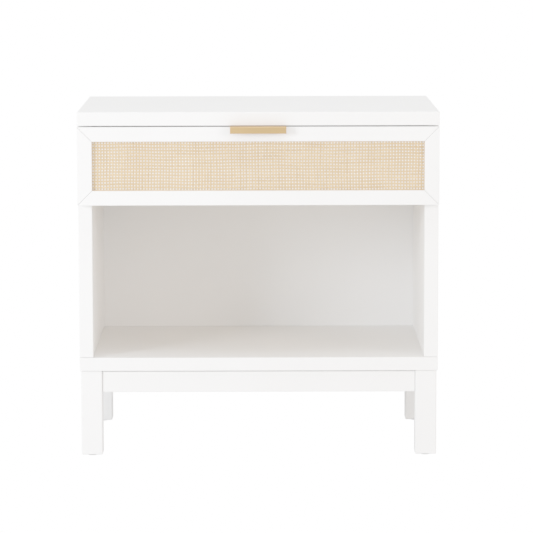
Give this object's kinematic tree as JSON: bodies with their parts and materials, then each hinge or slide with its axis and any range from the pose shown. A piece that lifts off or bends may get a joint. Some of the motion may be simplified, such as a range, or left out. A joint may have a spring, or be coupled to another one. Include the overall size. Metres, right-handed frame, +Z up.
{
  "type": "nightstand",
  "caption": "White bedside table with a mitred, cane-fronted drawer on telescopic slides, a brass edge pull and an open cubby, on square legs joined by aprons.",
  "frame": {"origin": "on the floor, under the middle of the bounding box", "axes": "+X to the viewer's right, +Y from the front to the back, +Z up; the drawer opens along -Y"},
  "size_m": [0.61, 0.422, 0.59],
  "materials": {
    "white_paint": "satin white lacquer",
    "white_board": "matte white board",
    "cane": "natural woven cane",
    "plywood": "clear-coated birch plywood",
    "pine": "bare pine",
    "brass": "brushed",
    "zinc_steel": "zinc plated",
    "nylon": "matte"
  },
  "bodies": {
    "cabinet": {"top_panel": "white_paint", "bottom_panel": "white_paint", "left_side_panel": "white_paint", "right_side_panel": "white_paint", "back_panel": "white_board", "drawer_divider": "plywood", "panel_screw_front_left": "zinc_steel", "panel_screw_front_right": "zinc_steel", "panel_screw_rear_left": "zinc_steel", "panel_screw_rear_right": "zinc_steel", "front_apron": "white_paint", "rear_apron": "white_paint", "left_apron": "white_paint", "right_apron": "white_paint", "leg_front_left": "white_paint", "leg_front_right": "white_paint", "leg_rear_left": "white_paint", "leg_rear_right": "white_paint", "glide_front_left": "nylon", "glide_front_right": "nylon", "glide_rear_left": "nylon", "glide_rear_right": "nylon", "corner_block_front_left": "pine", "corner_block_front_right": "pine", "corner_block_rear_left": "pine", "corner_block_rear_right": "pine", "leg_bolt_front_left": "zinc_steel", "leg_bolt_front_right": "zinc_steel", "leg_bolt_rear_left": "zinc_steel", "leg_bolt_rear_right": "zinc_steel", "base_screw_front_left": "zinc_steel", "base_screw_front_right": "zinc_steel", "base_screw_rear_left": "zinc_steel", "base_screw_rear_right": "zinc_steel", "slide_cabinet_member_left": "zinc_steel", "slide_cabinet_member_right": "zinc_steel"},
    "drawer": {"drawer_top_rail": "white_paint", "drawer_bottom_rail": "white_paint", "drawer_left_stile": "white_paint", "drawer_right_stile": "white_paint", "cane_panel": "cane", "cane_backing": "white_board", "edge_pull": "brass", "pull_screw_left": "brass", "pull_screw_right": "brass", "drawer_left_side": "plywood", "drawer_right_side": "plywood", "drawer_inner_front": "plywood", "drawer_back": "plywood", "drawer_bottom": "plywood", "front_screw_lower_left": "zinc_steel", "front_screw_lower_right": "zinc_steel", "front_screw_upper_left": "zinc_steel", "front_screw_upper_right": "zinc_steel", "slide_drawer_member_left": "zinc_steel", "slide_drawer_member_right": "zinc_steel", "bumper_left": "nylon", "bumper_right": "nylon"},
    "slide_middle_left": {"slide_middle_member_left": "zinc_steel"},
    "slide_middle_right": {"slide_middle_member_right": "zinc_steel"}
  },
  "joints": [
    {"name": "drawer_slide", "type": "slide", "parent": "cabinet", "child": "drawer", "axis": [0, -1, 0], "range_m": [0, 0.33]},
    {"name": "left_middle_slide", "type": "slide", "parent": "cabinet", "child": "slide_middle_left", "axis": [0, -1, 0], "range_m": [0, 0.165]},
    {"name": "right_middle_slide", "type": "slide", "parent": "cabinet", "child": "slide_middle_right", "axis": [0, -1, 0], "range_m": [0, 0.165]}
  ],
  "couplings": [
    {"joint": "left_middle_slide", "follows": "drawer_slide", "ratio": 0.5},
    {"joint": "right_middle_slide", "follows": "drawer_slide", "ratio": 0.5}
  ]
}
